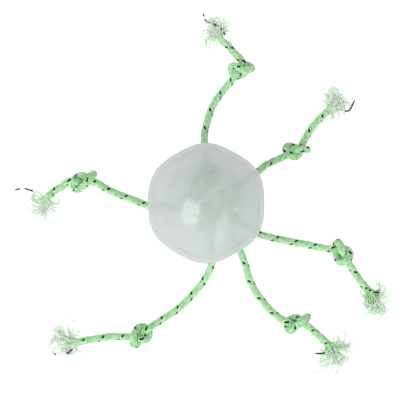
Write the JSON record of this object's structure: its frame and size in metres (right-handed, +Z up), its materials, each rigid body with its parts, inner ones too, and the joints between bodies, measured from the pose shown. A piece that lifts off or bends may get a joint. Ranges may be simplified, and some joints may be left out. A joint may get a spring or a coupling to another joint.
{
  "type": "octopus ball dog toy",
  "caption": "Hollow translucent rubber ball on a small flat, with knotted braided cords that leave its lower half and end in frayed tufts.",
  "frame": {"origin": "middle of the flat that the ball stands on", "axes": "+Z up through the ball's top; +Y towards arm 1, and the arms are numbered clockwise from it, seen from above"},
  "size_m": [0.2551, 0.2432, 0.0782],
  "materials": {
    "shell_rubber": "satin translucent",
    "cord_green": "braided",
    "fray_green": "loose filaments",
    "tracer_black": "twisted yarn"
  },
  "bodies": {
    "ball": {"shell_top": "shell_rubber", "shell_bottom": "shell_rubber", "inner_knot_1": "cord_green", "inner_cord_1": "cord_green", "inner_knot_2": "cord_green", "inner_cord_2": "cord_green", "inner_knot_3": "cord_green", "inner_cord_3": "cord_green", "inner_knot_4": "cord_green", "inner_cord_4": "cord_green", "inner_knot_5": "cord_green", "inner_cord_5": "cord_green", "inner_knot_6": "cord_green", "inner_cord_6": "cord_green"},
    "arm_1": {"cord_1": "cord_green", "knot_1": "cord_green", "tail_1": "cord_green", "fray_1": "fray_green", "thread_1": "tracer_black"},
    "arm_2": {"cord_2": "cord_green", "knot_2": "cord_green", "tail_2": "cord_green", "fray_2": "fray_green", "thread_2": "tracer_black"},
    "arm_3": {"cord_3": "cord_green", "knot_3": "cord_green", "tail_3": "cord_green", "fray_3": "fray_green", "thread_3": "tracer_black"},
    "arm_4": {"cord_4": "cord_green", "knot_4": "cord_green", "tail_4": "cord_green", "fray_4": "fray_green", "thread_4": "tracer_black"},
    "arm_5": {"cord_5": "cord_green", "knot_5": "cord_green", "tail_5": "cord_green", "fray_5": "fray_green", "thread_5": "tracer_black"},
    "arm_6": {"cord_6": "cord_green", "knot_6": "cord_green", "tail_6": "cord_green", "fray_6": "fray_green", "thread_6": "tracer_black"}
  },
  "joints": [
    {"name": "arm_1_lift", "type": "hinge", "parent": "ball", "child": "arm_1", "pos_m": [0, 0.0369, 0.01419], "axis": [1, 0, 0], "range_deg": [0, 60]},
    {"name": "arm_2_lift", "type": "hinge", "parent": "ball", "child": "arm_2", "pos_m": [0.03196, 0.01845, 0.01419], "axis": [0.5, -0.866, 0], "range_deg": [0, 60]},
    {"name": "arm_3_lift", "type": "hinge", "parent": "ball", "child": "arm_3", "pos_m": [0.03196, -0.01845, 0.01419], "axis": [-0.5, -0.866, 0], "range_deg": [0, 60]},
    {"name": "arm_4_lift", "type": "hinge", "parent": "ball", "child": "arm_4", "pos_m": [0.02169, -0.02985, 0.01419], "axis": [-0.809, -0.5878, 0], "range_deg": [0, 60]},
    {"name": "arm_5_lift", "type": "hinge", "parent": "ball", "child": "arm_5", "pos_m": [0.00386, -0.0367, 0.01419], "axis": [-0.9945, -0.1045, 0], "range_deg": [0, 60]},
    {"name": "arm_6_lift", "type": "hinge", "parent": "ball", "child": "arm_6", "pos_m": [-0.03681, -0.00257, 0.01419], "axis": [-0.0698, 0.9976, 0], "range_deg": [0, 60]}
  ]
}
